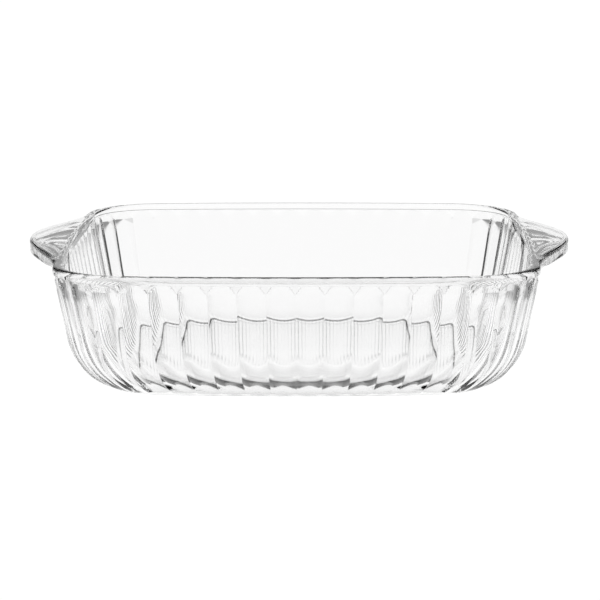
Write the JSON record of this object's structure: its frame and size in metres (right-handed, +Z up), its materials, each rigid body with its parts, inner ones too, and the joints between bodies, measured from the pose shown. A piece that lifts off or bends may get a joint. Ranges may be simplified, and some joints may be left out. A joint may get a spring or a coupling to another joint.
{
  "type": "square glass baking dish",
  "caption": "Square clear-glass baking dish with fluted drafted walls, rounded corners and two wing handles flush with the rim.",
  "frame": {"origin": "centre of the flat underside", "axes": "+Z up through the open top, X along the line between the two handles, -Y towards the front"},
  "size_m": [0.2882, 0.2516, 0.0688],
  "materials": {
    "glass": "clear, fire-polished"
  },
  "bodies": {
    "root": {"floor_panel": "glass", "front_wall": "glass", "front_right_corner": "glass", "right_wall": "glass", "back_right_corner": "glass", "back_wall": "glass", "back_left_corner": "glass", "left_wall": "glass", "front_left_corner": "glass", "right_handle": "glass", "left_handle": "glass"}
  },
  "joints": []
}
